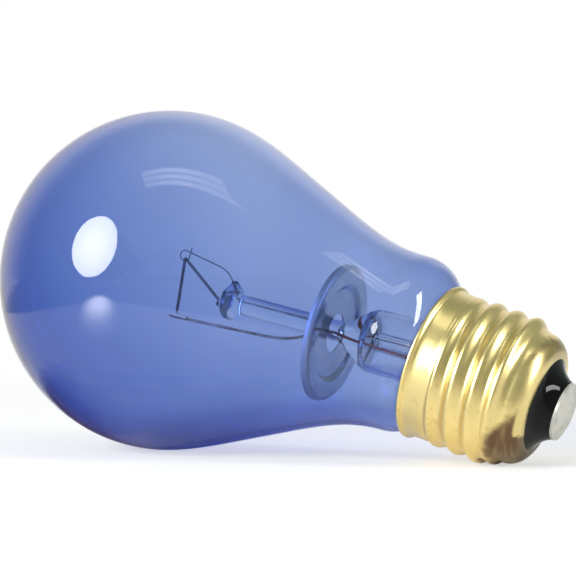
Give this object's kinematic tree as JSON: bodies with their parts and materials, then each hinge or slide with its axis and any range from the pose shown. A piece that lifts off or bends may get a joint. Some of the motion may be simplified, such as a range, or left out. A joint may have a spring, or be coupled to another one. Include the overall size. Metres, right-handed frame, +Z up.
{
  "type": "terrarium daylight bulb",
  "caption": "Pear-shaped clear blue glass filament lamp with a brass screw cap, lying on its side; gives a daylight tint in a terrarium.",
  "frame": {"origin": "middle of the lamp's box, on the floor it lies on", "axes": "+X along the lamp's length towards the contact, +Z up, and -Y the side that faces the camera in the picture"},
  "size_m": [0.1048, 0.0602, 0.0603],
  "materials": {
    "blue_glass": "clear blue, glossy",
    "clear_glass": "clear, glossy",
    "aluminium": "polished",
    "nickel": "drawn",
    "copper": "drawn, a little oxidised",
    "tungsten": "dark, drawn",
    "brass": "polished, with a brown heat tint at the nose",
    "cement": "matt",
    "black_glass": "glossy, opaque",
    "solder": "dull"
  },
  "bodies": {
    "root": {"glass_envelope": "blue_glass", "stem_flare": "clear_glass", "exhaust_tube": "clear_glass", "arbor_rod": "clear_glass", "heat_disc": "aluminium", "inner_lead_near": "nickel", "inner_lead_far": "nickel", "seal_wire_near": "copper", "seal_wire_far": "copper", "shell_lead": "copper", "contact_lead": "copper", "support_wire": "tungsten", "filament": "tungsten", "screw_shell": "brass", "base_cement": "cement", "insulator": "black_glass", "contact": "solder"}
  },
  "joints": []
}
